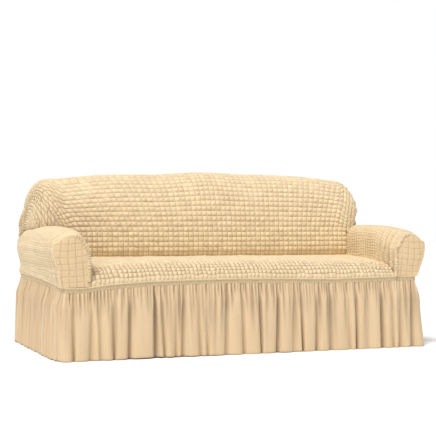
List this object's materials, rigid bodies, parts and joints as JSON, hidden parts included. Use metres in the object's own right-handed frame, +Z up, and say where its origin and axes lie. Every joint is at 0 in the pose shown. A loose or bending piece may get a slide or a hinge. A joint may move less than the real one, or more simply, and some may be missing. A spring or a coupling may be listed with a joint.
{
  "type": "sofa slipcover",
  "caption": "Hollow stretch sofa cover with a puckered back, seat and arms, flat checked arm fronts, an elastic band under the seat and a gathered skirt.",
  "frame": {"origin": "centre of the cover's footprint, on the floor under its hem", "axes": "+X runs along the sofa to the right of someone facing it, +Y to its back, +Z up"},
  "size_m": [2.0185, 1.063, 0.935],
  "materials": {
    "bubble_cloth": "matt puckered seersucker knit, warm sand",
    "check_cloth": "matt flat knit with a thin brown window check",
    "elastic": "matt shirred elastic, greenish sand",
    "plain_cloth": "smooth plain knit with a faint sheen, gathered"
  },
  "bodies": {
    "root": {"inside_back": "bubble_cloth", "outside_back": "bubble_cloth", "seat": "bubble_cloth", "arm_wrap_left": "bubble_cloth", "arm_wrap_right": "bubble_cloth", "arm_front_left": "check_cloth", "arm_front_right": "check_cloth", "band_front": "elastic", "band_right": "elastic", "band_back": "elastic", "band_left": "elastic", "skirt_front": "plain_cloth", "skirt_right": "plain_cloth", "skirt_back": "plain_cloth", "skirt_left": "plain_cloth"}
  },
  "joints": []
}
